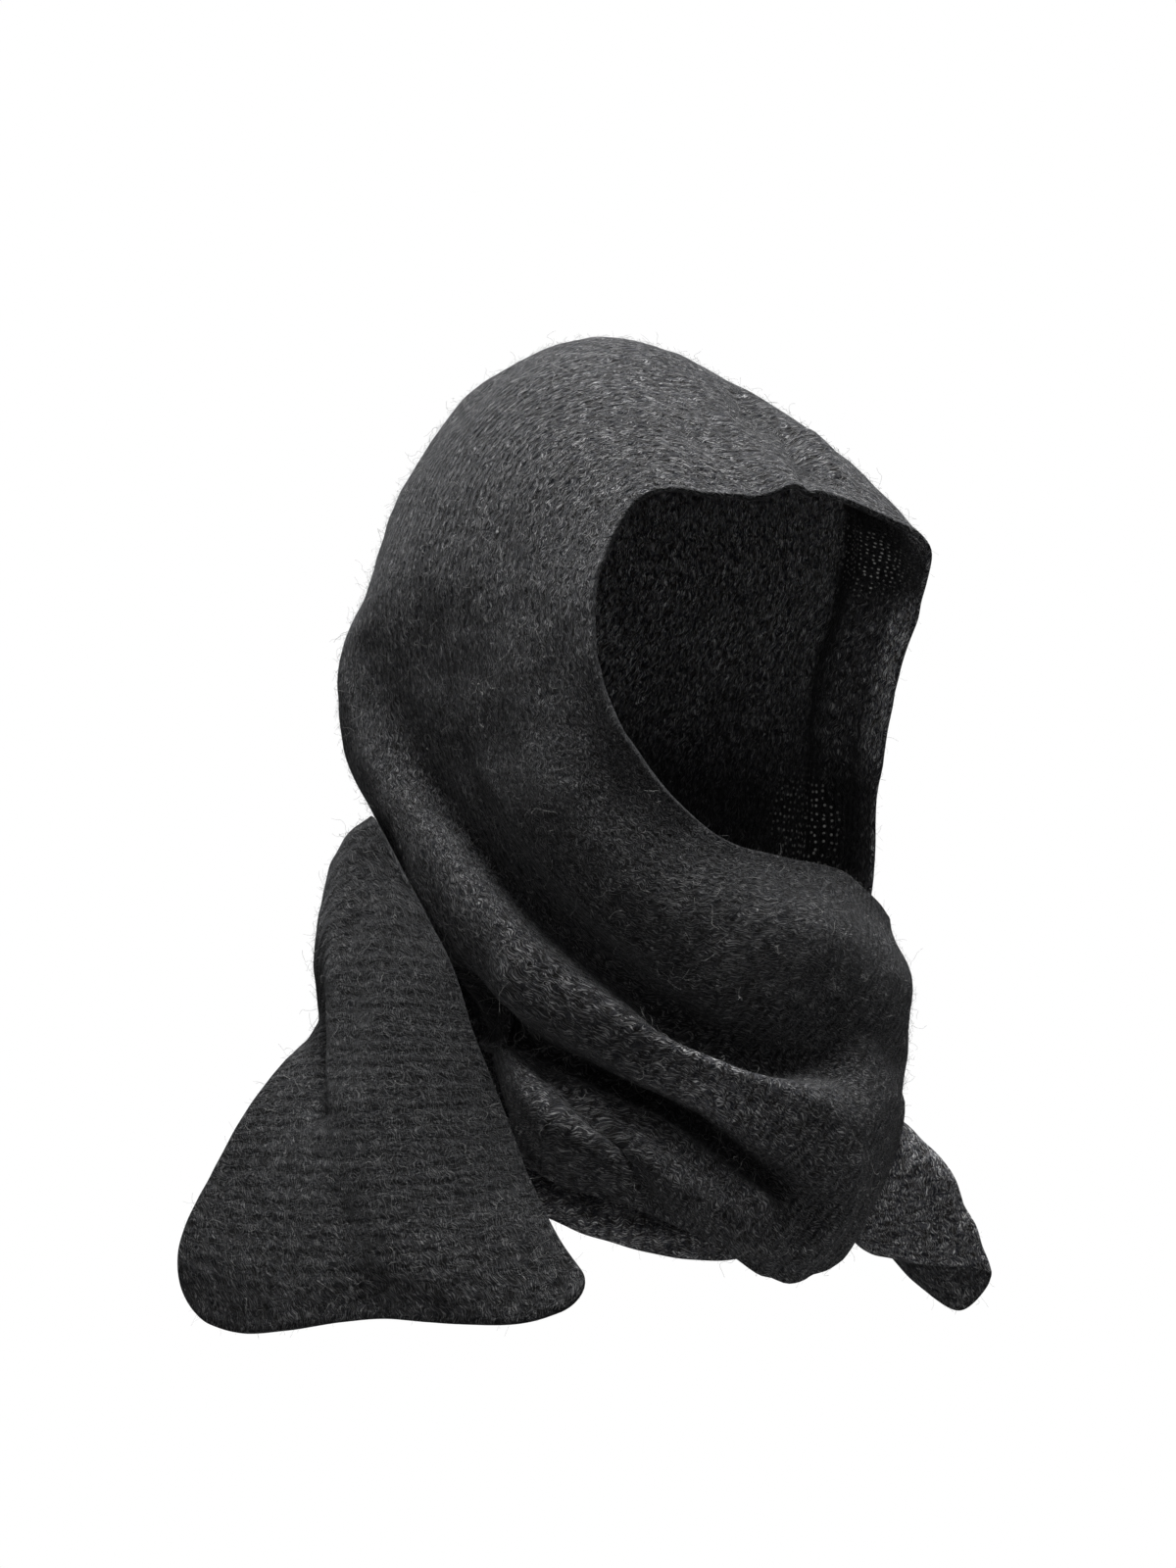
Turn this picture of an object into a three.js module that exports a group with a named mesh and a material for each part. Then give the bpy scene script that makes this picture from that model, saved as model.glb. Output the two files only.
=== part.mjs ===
// A hooded scarf in brushed charcoal knit, in the form that it takes when it is worn.
// Millimetres. +Z is up, the face looks towards -Y, and the wearer's left is +X.
// The origin is the top of the head, on the inside of the crown.
import * as THREE from 'three';

// Cloth
const CLOTH_WALL = 4;
const CHARCOAL = 0x2f3033;
const HEATHER_GREY = 0x37383b;

// One long strip makes the hood, the front wrap and the right tail.
// Its sections are counted from the top centre of the hood: negative on the wearer's left.
// The back seam joins its two halves from the crown down to the nape.
const SEAM_SECTIONS = 6;
const WRAP_ENDS_AT = 14;
const PIECE_GAP = 1.5;

// The tails' last corners are rounded over this much of a section and this share across.
const CORNER = { section: 0.45, share: 0.08 };

// Grid fineness of each piece: steps for each section along the cloth, and steps across it
const HOOD_GRID = { perSection: 3, across: 25 };
const RIGHT_TAIL_GRID = { perSection: 3, across: 14 };
const LEFT_TAIL_GRID = { perSection: 4, across: 12 };
const UNDER_WRAP_GRID = { perSection: 5, across: 9 };

// A row is a section across the strip, from the edge that frames the face to the back seam,
// then from the wrap's upper edge to the hem under its second fold, then across the tail.
const STRIP_COLUMNS = ['edge', 'brim', 'cheek', 'valley', 'roll', 'slot', 'fold', 'hem'];
const STRIP_SECTIONS = [
  // wearer's left side, from the end inside the wrap up to the crown
  { at: -7, edge: [96, -92, -400], brim: [102, -55, -400], cheek: [103, -12, -400], valley: [97, 26, -398],
    roll: [86, 58, -396], slot: [70, 84, -394], fold: [52, 100, -392], hem: [32, 110, -390] },
  { at: -6, edge: [106, -100, -325], brim: [113, -60, -325], cheek: [114, -12, -325], valley: [108, 38, -320],
    roll: [98, 84, -316], slot: [78, 114, -318], fold: [44, 134, -326], hem: [0, 142, -335] },
  { at: -5, edge: [106, -106, -262], brim: [114, -60, -262], cheek: [118, -5, -262], valley: [116, 55, -258],
    roll: [104, 112, -256], slot: [80, 154, -258], fold: [44, 182, -262], hem: [0, 192, -264] },
  { at: -4, edge: [103, -124, -202], brim: [110, -70, -202], cheek: [118, -10, -200], valley: [118, 55, -198],
    roll: [106, 118, -198], slot: [80, 160, -202], fold: [44, 188, -208], hem: [0, 197, -210] },
  { at: -3, edge: [99, -148, -155], brim: [110, -90, -146], cheek: [117, -25, -138], valley: [115, 44, -138],
    roll: [100, 108, -144], slot: [73, 156, -150], fold: [38, 184, -156], hem: [0, 194, -160] },
  { at: -2, edge: [93, -160, -124], brim: [94, -106, -88], cheek: [96, -46, -64], valley: [94, 18, -58],
    roll: [84, 80, -68], slot: [63, 132, -88], fold: [33, 166, -106], hem: [0, 183, -116] },
  { at: -1, edge: [48, -155, -102], brim: [50, -106, -62], cheek: [53, -54, -35], valley: [53, 0, -17],
    roll: [50, 56, -16], slot: [42, 108, -36], fold: [22, 148, -66], hem: [0, 171, -94] },
  // top centre
  { at: 0, edge: [0, -153, -91], brim: [0, -108, -66], cheek: [0, -62, -36], valley: [0, -17, -8],
    roll: [0, 32, 2], slot: [0, 84, -10], fold: [0, 132, -42], hem: [0, 165, -80] },
  // wearer's right side, down to the nape
  { at: 1, edge: [-46, -137, -91], brim: [-50, -94, -60], cheek: [-53, -46, -34], valley: [-54, 4, -17],
    roll: [-51, 58, -18], slot: [-43, 110, -37], fold: [-23, 149, -66], hem: [0, 171, -94] },
  { at: 2, edge: [-86, -110, -95], brim: [-93, -62, -74], cheek: [-97, -12, -62], valley: [-96, 44, -62],
    roll: [-87, 96, -74], slot: [-66, 140, -92], fold: [-35, 169, -107], hem: [0, 183, -116] },
  { at: 3, edge: [-110, -99, -138], brim: [-117, -45, -138], cheek: [-121, 12, -136], valley: [-118, 72, -140],
    roll: [-103, 126, -147], slot: [-74, 164, -153], fold: [-39, 186, -158], hem: [0, 194, -160] },
  { at: 4, edge: [-117, -103, -180], brim: [-122, -48, -184], cheek: [-121, 18, -186], valley: [-115, 93, -188],
    roll: [-104, 156, -200], slot: [-80, 183, -206], fold: [-43, 195, -210], hem: [0, 197, -210] },
  { at: 5, edge: [-112, -112, -215], brim: [-121, -58, -226], cheek: [-122, 0, -234], valley: [-113, 72, -236],
    roll: [-118, 118, -243], slot: [-94, 164, -254], fold: [-50, 188, -262], hem: [0, 192, -264] },
  // front wrap: valley, roll, slot and second fold sweep down to the chest
  { at: 6, edge: [-94, -126, -252], brim: [-117, -88, -268], cheek: [-124, -42, -284], valley: [-112, 11, -300],
    roll: [-130, 40, -291], slot: [-122, 84, -298], fold: [-82, 122, -314], hem: [0, 142, -335] },
  { at: 7, edge: [-55, -139, -290], brim: [-88, -130, -312], cheek: [-104, -104, -338], valley: [-97, -74, -360],
    roll: [-130, -50, -353], slot: [-126, -12, -395], fold: [-129, -30, -415], hem: [-126, -28, -434] },
  { at: 8, edge: [-5, -141, -305], brim: [-48, -150, -335], cheek: [-70, -140, -368], valley: [-71, -117, -397],
    roll: [-102, -113, -395], slot: [-92, -70, -432], fold: [-128, -77, -448], hem: [-123, -58, -485] },
  { at: 9, edge: [50, -135, -318], brim: [8, -160, -352], cheek: [-22, -158, -390], valley: [-40, -142, -419],
    roll: [-66, -150, -419], slot: [-54, -111, -457], fold: [-93, -123, -475], hem: [-93, -106, -503] },
  { at: 10, edge: [100, -120, -350], brim: [78, -148, -378], cheek: [56, -161, -404], valley: [28, -163, -428],
    roll: [-4, -174, -445], slot: [-14, -140, -493], fold: [-48, -146, -509], hem: [-50, -130, -526] },
  { at: 11, edge: [120, -84, -366], brim: [114, -116, -392], cheek: [101, -136, -420], valley: [78, -152, -446],
    roll: [48, -163, -475], slot: [28, -158, -510], fold: [8, -149, -539], hem: [4, -133, -557] },
  { at: 12, edge: [129, -42, -376], brim: [131, -69, -398], cheek: [124, -93, -423], valley: [113, -112, -448],
    roll: [104, -123, -468], slot: [94, -128, -494], fold: [78, -131, -521], hem: [58, -128, -547] },
  { at: 13, edge: [132, 18, -372], brim: [139, 2, -388], cheek: [140, -17, -404], valley: [137, -36, -420],
    roll: [137, -62, -434], slot: [140, -80, -446], fold: [136, -94, -458], hem: [125, -101, -464] },
  { at: 14, edge: [118, 78, -350], brim: [125, 72, -369], cheek: [130, 62, -387], valley: [133, 49, -403],
    roll: [134, 34, -418], slot: [133, 18, -432], fold: [130, 2, -443], hem: [124, -13, -452] },
  // round the back of the neck
  { at: 15, edge: [72, 134, -330], brim: [78, 140, -349], cheek: [83, 143, -368], valley: [87, 142, -386],
    roll: [90, 138, -403], slot: [91, 131, -419], fold: [90, 122, -434], hem: [87, 111, -447] },
  { at: 16, edge: [0, 160, -322], brim: [0, 168, -338], cheek: [0, 172, -356], valley: [0, 173, -376],
    roll: [0, 171, -396], slot: [0, 166, -414], fold: [0, 159, -430], hem: [0, 150, -444] },
  { at: 17, edge: [-78, 147, -310], brim: [-87, 152, -323], cheek: [-92, 153, -347], valley: [-96, 155, -366],
    roll: [-96, 154, -384], slot: [-94, 151, -402], fold: [-90, 147, -420], hem: [-84, 140, -436] },
  // over the right shoulder and down in front
  { at: 18, edge: [-133, 84, -291], brim: [-138, 101, -300], cheek: [-143, 113, -319], valley: [-145, 119, -342],
    roll: [-144, 122, -360], slot: [-141, 125, -380], fold: [-136, 127, -402], hem: [-129, 126, -424] },
  { at: 19, edge: [-136, 42, -332], brim: [-149, 63, -327], cheek: [-158, 82, -334], valley: [-161, 97, -348],
    roll: [-160, 106, -366], slot: [-156, 112, -386], fold: [-150, 116, -406], hem: [-144, 118, -426] },
  { at: 20, edge: [-143, -2, -370], brim: [-162, 24, -366], cheek: [-172, 48, -366], valley: [-174, 70, -370],
    roll: [-170, 84, -382], slot: [-163, 92, -398], fold: [-162, 100, -412], hem: [-168, 108, -426] },
  { at: 21, edge: [-143, -24, -410], brim: [-168, -6, -408], cheek: [-184, 18, -408], valley: [-190, 42, -410],
    roll: [-186, 60, -414], slot: [-179, 72, -422], fold: [-182, 86, -429], hem: [-194, 97, -436] },
  { at: 22, edge: [-139, -44, -448], brim: [-170, -30, -448], cheek: [-194, -8, -450], valley: [-206, 18, -452],
    roll: [-206, 42, -454], slot: [-204, 58, -457], fold: [-212, 74, -460], hem: [-226, 90, -463] },
  { at: 23, edge: [-138, -67, -486], brim: [-172, -56, -490], cheek: [-200, -34, -494], valley: [-216, -8, -498],
    roll: [-224, 20, -501], slot: [-230, 44, -503], fold: [-240, 68, -504], hem: [-252, 94, -503] },
  { at: 24, edge: [-141, -100, -519], brim: [-172, -82, -526], cheek: [-200, -58, -532], valley: [-218, -28, -536],
    roll: [-230, 2, -540], slot: [-241, 32, -543], fold: [-254, 64, -544], hem: [-267, 98, -538] },
  { at: 25, edge: [-141, -134, -545], brim: [-168, -104, -561], cheek: [-192, -72, -564], valley: [-212, -38, -564],
    roll: [-228, -6, -569], slot: [-243, 26, -577], fold: [-256, 60, -582], hem: [-268, 92, -574] },
];

// Left tail: it comes from under the wrap and hangs in two layers, with its fold outside.
const LEFT_TAIL_COLUMNS = ['inner', 'face', 'fold', 'back', 'end'];
const LEFT_TAIL_SECTIONS = [
  { at: 0, inner: [84, -84, -440], face: [100, -80, -440], fold: [116, -62, -446], back: [114, -30, -442],
    end: [106, 0, -440] },
  { at: 1, inner: [84, -92, -486], face: [108, -98, -483], fold: [138, -88, -478], back: [135, -58, -482],
    end: [116, -26, -480] },
  { at: 2, inner: [90, -88, -510], face: [120, -103, -507], fold: [154, -113, -503], back: [155, -84, -514],
    end: [134, -41, -515] },
  { at: 3, inner: [105, -80, -541], face: [138, -98, -540], fold: [176, -115, -538], back: [174, -87, -562],
    end: [150, -50, -552] },
  { at: 4, inner: [124, -76, -562], face: [157, -94, -571], fold: [197, -115, -579], back: [196, -91, -606],
    end: [170, -56, -576] },
];

// Under wrap: a closed loop round the neck, seen below the front roll.
// turn is the angle from the front towards the wearer's left, and the columns hold
// the distance out from the neck's axis and the height.
const NECK_AXIS = { x: 0, y: 10 };
const UNDER_WRAP_COLUMNS = ['top', 'shoulder', 'crest', 'groove', 'band', 'rim'];
const UNDER_WRAP_SECTIONS = [
  { turn: 0, top: [92, -452], shoulder: [106, -468], crest: [116, -494], groove: [107, -520],
    band: [113, -534], rim: [109, -546] },
  { turn: 45, top: [90, -440], shoulder: [100, -452], crest: [106, -478], groove: [99, -504],
    band: [104, -516], rim: [101, -530] },
  { turn: 90, top: [80, -412], shoulder: [87, -424], crest: [92, -444], groove: [88, -466],
    band: [92, -476], rim: [89, -488] },
  { turn: 135, top: [86, -400], shoulder: [96, -410], crest: [104, -428], groove: [99, -446],
    band: [104, -456], rim: [100, -468] },
  { turn: 180, top: [84, -400], shoulder: [104, -408], crest: [124, -424], groove: [122, -442],
    band: [128, -454], rim: [124, -468] },
  { turn: 225, top: [86, -402], shoulder: [106, -411], crest: [122, -424], groove: [118, -446],
    band: [123, -460], rim: [120, -474] },
  { turn: 270, top: [84, -434], shoulder: [95, -442], crest: [108, -458], groove: [108, -474],
    band: [115, -484], rim: [112, -496] },
  { turn: 300, top: [86, -440], shoulder: [103, -454], crest: [124, -478], groove: [120, -494],
    band: [127, -506], rim: [123, -517] },
  { turn: 330, top: [92, -438], shoulder: [107, -464], crest: [126, -494], groove: [118, -513],
    band: [124, -525], rim: [120, -537] },
];

// Creases and swells worked into the strip: a route of [section, share across] places,
// its half width, and its height: below zero for a crease, above for a swell.
const FOLD_STEPS = 9;
const STRIP_FOLDS = [
  { name: 'seam ridge', route: [[0, 0.0], [0, 0.34]], width: 9, height: 2 },
  { name: 'dimple right of the seam', route: [[0.55, 0.02], [0.75, 0.16]], width: 13, height: -4 },
  { name: 'dimple left of the seam', route: [[-0.5, 0.05], [-0.65, 0.24]], width: 12, height: -4 },
  { name: 'inner crease of the left side', route: [[-2.4, 0.12], [-5.9, 0.17]], width: 17, height: -11 },
  { name: 'cheek swell', route: [[5.6, 0.16], [7.2, 0.22]], width: 24, height: 4 },
  { name: 'neck crease', route: [[5.2, 0.33], [7.4, 0.36]], width: 12, height: -4 },
  { name: 'chin swell', route: [[8.4, 0.12], [10.2, 0.15]], width: 22, height: 5 },
  { name: 'chest crease', route: [[9.4, 0.3], [10.7, 0.36]], width: 14, height: -4 },
  { name: 'neck valley', route: [[5.4, 0.43], [7, 0.43], [8, 0.43]], width: 13, height: -3 },
  { name: 'chest valley', route: [[8.1, 0.42], [8.9, 0.41], [9.7, 0.42]], width: 20, height: -9 },
  { name: 'roll belly', route: [[7.2, 0.63], [8.2, 0.635], [9.8, 0.64], [10.6, 0.65]], width: 17, height: 10 },
  { name: 'slot', route: [[7.3, 0.72], [8.2, 0.71], [9.2, 0.71], [10, 0.715]], width: 7, height: -12 },
  { name: 'slot lip', route: [[7.9, 0.79], [8.6, 0.78], [9.5, 0.79], [10.1, 0.79]], width: 8, height: 7 },
  { name: 'second fold crease', route: [[7.75, 0.79], [8.25, 0.82], [8.7, 0.86], [9, 0.91], [9.3, 0.96]],
    width: 6, height: -6 },
  { name: 'pocket', route: [[6.85, 0.73], [7.15, 0.71]], width: 11, height: -22 },
  { name: 'lobe crease', route: [[10.6, 0.62], [10.85, 0.97]], width: 9, height: -4 },
  { name: 'lobe side crease', route: [[11.5, 0.66], [11.45, 0.98]], width: 9, height: -3 },
  { name: 'left side fold', route: [[-3.2, 0.72], [-6, 0.42]], width: 20, height: -6 },
  { name: 'left side swell', route: [[-4.2, 0.88], [-6, 0.66]], width: 20, height: 6 },
  { name: 'nape fold', route: [[15.2, 0.4], [17.6, 0.34]], width: 12, height: -5 },
  { name: 'tail lump crease', route: [[19.6, 0.3], [21.4, 0.42]], width: 13, height: -5 },
  { name: 'tail ridge crease', route: [[20.2, 0.7], [20.9, 0.73], [21.5, 0.68], [22, 0.6]], width: 9, height: -9 },
  { name: 'tail fan crease', route: [[22.2, 0.52], [24.4, 0.47]], width: 16, height: -4 },
];

function point(values) {
  return new THREE.Vector3(values[0], values[1], values[2]);
}

// A smooth line through points, read by the index of its points.
function splineThrough(points, closed = false) {
  const curve = new THREE.CatmullRomCurve3(points, closed, 'centripetal');
  const spans = closed ? points.length : points.length - 1;
  return (index) => curve.getPoint(THREE.MathUtils.clamp(index / spans, 0, 1));
}

// A surface through sections: station counts the sections, share runs across them from 0 to 1.
function surfaceThrough(sections, columns, closed = false) {
  const guides = columns.map((column) => splineThrough(sections.map((row) => row[column]), closed));
  return (station) => {
    const across = splineThrough(guides.map((guide) => guide(station)));
    return (share) => across(share * (columns.length - 1));
  };
}

// Rounds the two corners at the end of a sheet, by pressing each square corner into a quarter disc.
function roundCorners(lastStation) {
  return (station, share) => {
    const along = Math.max(0, 1 - (lastStation - station) / CORNER.section);
    const side = share < 0.5 ? -1 : 1;
    const across = Math.max(0, 1 - (0.5 - Math.abs(share - 0.5)) / CORNER.share);
    const shorter = along * (1 - Math.sqrt(1 - across ** 2 / 2));
    const narrower = across * (1 - Math.sqrt(1 - along ** 2 / 2));
    return [station - shorter * CORNER.section, share - side * narrower * CORNER.share];
  };
}

// Corners and four-sided faces of a sheet. sameCorner names the grid places that are one point,
// and place moves a grid place on the surface.
function sheetGrid(surface, stations, shares, { closed = false, sameCorner = null, place = null } = {}) {
  const corners = [];
  const cornerOf = new Map();
  const grid = stations.map((station, row) => shares.map((share, column) => {
    const name = sameCorner ? sameCorner(station, column) : `${row},${column}`;
    if (!cornerOf.has(name)) {
      const [at, across] = place ? place(station, share) : [station, share];
      cornerOf.set(name, corners.length);
      corners.push(surface(at)(across));
    }
    return cornerOf.get(name);
  }));
  const faces = [];
  const rows = closed ? stations.length : stations.length - 1;
  for (let row = 0; row < rows; row += 1) {
    const next = (row + 1) % stations.length;
    for (let column = 0; column + 1 < shares.length; column += 1) {
      faces.push([grid[row][column], grid[row][column + 1], grid[next][column + 1], grid[next][column]]);
    }
  }
  return { corners, faces };
}

// Unit normals at the corners, out of the cloth's right side, each the sum over its faces.
function cornerNormals({ corners, faces }) {
  const normals = corners.map(() => new THREE.Vector3());
  for (const face of faces) {
    const [a, b, c, d] = face.map((corner) => corners[corner]);
    const normal = new THREE.Vector3().subVectors(c, a).cross(new THREE.Vector3().subVectors(d, b));
    face.forEach((corner) => normals[corner].add(normal));
  }
  normals.forEach((normal) => normal.normalize());
  return normals;
}

// A fold's route as points on the surface, at even steps between its listed places.
function routePoints(route, surface, firstAt) {
  return evenSteps(0, route.length - 1, FOLD_STEPS - 1).map((place) => {
    const stop = Math.min(Math.floor(place), route.length - 2);
    const [at, share] = [0, 1].map((k) => THREE.MathUtils.lerp(route[stop][k], route[stop + 1][k], place - stop));
    return surface(at - firstAt)(share);
  });
}

// Moves the sheet's corners out or in near each fold's route.
function workFolds(sheet, surface, firstAt, folds) {
  const normals = cornerNormals(sheet);
  const nearest = new THREE.Vector3();
  const moves = sheet.corners.map(() => 0);
  for (const { route, width, height } of folds) {
    const points = routePoints(route, surface, firstAt);
    const lines = points.slice(1).map((end, index) => new THREE.Line3(points[index], end));
    sheet.corners.forEach((corner, index) => {
      const gaps = lines.map((line) => line.closestPointToPoint(corner, true, nearest).distanceTo(corner));
      moves[index] += height * Math.exp(-((Math.min(...gaps) / width) ** 2));
    });
  }
  sheet.corners.forEach((corner, index) => corner.addScaledVector(normals[index], moves[index]));
  return sheet;
}

// A closed solid: the sheet's two skins, half a wall to each side, joined round its free edges.
function thickenSheet(sheet, wall) {
  const { corners, faces } = sheet;
  const normals = cornerNormals(sheet);
  const count = corners.length;
  const positions = [];
  for (const side of [0.5, -0.5]) {
    corners.forEach((corner, index) => {
      positions.push(...corner.clone().addScaledVector(normals[index], side * wall));
    });
  }
  const triangles = [];
  const freeEdges = new Map();
  for (const face of faces) {
    const [a, b, c, d] = face;
    triangles.push(a, b, c, a, c, d);
    triangles.push(a + count, c + count, b + count, a + count, d + count, c + count);
    face.forEach((from, index) => {
      const to = face[(index + 1) % face.length];
      if (!freeEdges.delete(`${to},${from}`)) freeEdges.set(`${from},${to}`, [from, to]);
    });
  }
  for (const [from, to] of freeEdges.values()) {
    triangles.push(to, from, from + count, to, from + count, to + count);
  }
  const geometry = new THREE.BufferGeometry();
  geometry.setAttribute('position', new THREE.Float32BufferAttribute(positions, 3));
  geometry.setIndex(triangles);
  geometry.computeVertexNormals();
  return geometry;
}

function evenSteps(from, to, steps) {
  return Array.from({ length: steps + 1 }, (_, step) => from + ((to - from) * step) / steps);
}

function pointSections(sections, columns) {
  return sections.map((row) => Object.fromEntries(columns.map((column) => [column, point(row[column])])));
}

const firstAt = STRIP_SECTIONS[0].at;
const lastAt = STRIP_SECTIONS[STRIP_SECTIONS.length - 1].at;
const stripSurface = surfaceThrough(pointSections(STRIP_SECTIONS, STRIP_COLUMNS), STRIP_COLUMNS);

function hoodSheet({ perSection, across }) {
  const stations = evenSteps(0, WRAP_ENDS_AT - firstAt, (WRAP_ENDS_AT - firstAt) * perSection);
  const sameCorner = (station, column) => {
    const fromTop = Math.round((station + firstAt) * perSection);
    const sewn = column === across && Math.abs(fromTop) <= SEAM_SECTIONS * perSection;
    return sewn ? `seam ${Math.abs(fromTop)}` : `${fromTop},${column}`;
  };
  const sheet = sheetGrid(stripSurface, stations, evenSteps(0, 1, across), { sameCorner });
  return workFolds(sheet, stripSurface, firstAt, STRIP_FOLDS);
}

function rightTailSheet({ perSection, across }) {
  const [wrapEnd, nextSection] = [0, 1].map((step) => stripSurface(WRAP_ENDS_AT + step - firstAt)(0.5));
  const startsAt = WRAP_ENDS_AT + PIECE_GAP / wrapEnd.distanceTo(nextSection);
  const steps = Math.round((lastAt - WRAP_ENDS_AT) * perSection);
  const stations = evenSteps(startsAt - firstAt, lastAt - firstAt, steps);
  const place = roundCorners(lastAt - firstAt);
  const sheet = sheetGrid(stripSurface, stations, evenSteps(0, 1, across), { place });
  return workFolds(sheet, stripSurface, firstAt, STRIP_FOLDS);
}

function leftTailSheet({ perSection, across }) {
  const surface = surfaceThrough(pointSections(LEFT_TAIL_SECTIONS, LEFT_TAIL_COLUMNS), LEFT_TAIL_COLUMNS);
  const spans = LEFT_TAIL_SECTIONS.length - 1;
  const place = roundCorners(spans);
  return sheetGrid(surface, evenSteps(0, spans, spans * perSection), evenSteps(0, 1, across), { place });
}

function underWrapSheet({ perSection, across }) {
  const turned = UNDER_WRAP_SECTIONS.map((row) => {
    const turn = THREE.MathUtils.degToRad(row.turn);
    const place = ([out, height]) => new THREE.Vector3(
      NECK_AXIS.x + out * Math.sin(turn),
      NECK_AXIS.y - out * Math.cos(turn),
      height,
    );
    return Object.fromEntries(UNDER_WRAP_COLUMNS.map((column) => [column, place(row[column])]));
  });
  const surface = surfaceThrough(turned, UNDER_WRAP_COLUMNS, true);
  const stations = evenSteps(0, turned.length, turned.length * perSection).slice(0, -1);
  return sheetGrid(surface, stations, evenSteps(0, 1, across), { closed: true });
}

function cloth(name, sheet, colour) {
  const material = new THREE.MeshStandardMaterial({ color: colour, roughness: 0.95, metalness: 0 });
  const piece = new THREE.Mesh(thickenSheet(sheet, CLOTH_WALL), material);
  piece.name = name;
  return piece;
}

const hoodedScarf = new THREE.Group();
hoodedScarf.add(cloth('hood', hoodSheet(HOOD_GRID), CHARCOAL));
hoodedScarf.add(cloth('under_wrap', underWrapSheet(UNDER_WRAP_GRID), CHARCOAL));
hoodedScarf.add(cloth('right_tail', rightTailSheet(RIGHT_TAIL_GRID), HEATHER_GREY));
hoodedScarf.add(cloth('left_tail', leftTailSheet(LEFT_TAIL_GRID), HEATHER_GREY));

export default hoodedScarf;
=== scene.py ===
import math

import bpy
import numpy as np
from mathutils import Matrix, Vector


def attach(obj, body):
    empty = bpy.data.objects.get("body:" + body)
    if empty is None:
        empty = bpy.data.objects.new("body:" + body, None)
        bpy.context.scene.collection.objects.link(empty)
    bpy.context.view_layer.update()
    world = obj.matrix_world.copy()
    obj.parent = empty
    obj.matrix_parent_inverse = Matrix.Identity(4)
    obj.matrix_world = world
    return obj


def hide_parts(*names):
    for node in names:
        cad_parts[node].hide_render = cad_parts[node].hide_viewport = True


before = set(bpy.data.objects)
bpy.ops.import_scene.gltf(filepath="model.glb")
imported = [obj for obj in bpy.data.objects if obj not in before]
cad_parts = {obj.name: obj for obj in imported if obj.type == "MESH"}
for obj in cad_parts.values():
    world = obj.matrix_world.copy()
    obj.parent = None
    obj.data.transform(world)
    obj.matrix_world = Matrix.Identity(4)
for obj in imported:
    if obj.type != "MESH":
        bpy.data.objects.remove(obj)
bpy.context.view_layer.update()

MM = 0.001

# Camera: the photograph's viewing angle, in degrees and metres, with the point that it looks at
CAMERA_AZIMUTH = -40
CAMERA_ELEVATION = 4
CAMERA_DISTANCE = 2.267
CAMERA_LENS_MM = 85
CAMERA_TARGET = (-0.0207, 0.0174, -0.269)

# Cloth: its thickness, how far its rims stand out, the angles of the rows of corners round a rim,
# and the step between those rows in the cloth's flat plane
CLOTH_WALL = 4.0
RIM_DEPTH = 1.2
RIM_TURNS = (50, 0, -50)
RIM_STEP = 1.2

# One long strip makes the hood, the front wrap and the right tail.
# Its sections are counted from the top centre of the hood: negative on the wearer's left.
# The back seam joins its two halves from the crown down to the nape.
SEAM_SECTIONS = 6
WRAP_STARTS_AT = 6
WRAP_ENDS_AT = 14
NECK_AXIS = (0, 10)

# The tails' last corners are rounded over this much of a section and this share across.
CORNER_SECTION = 0.45
CORNER_SHARE = 0.08

# The cloth's length is measured along a line at two fifths of the way across.
LENGTH_LINE = (2, 5)

# Grid fineness of each piece: steps for each section along the cloth, and steps across it
STRIP_GRID = dict(per_section=12, across=120)
LEFT_TAIL_GRID = dict(per_section=24, across=84)
UNDER_WRAP_GRID = dict(per_section=24, across=64)

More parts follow.
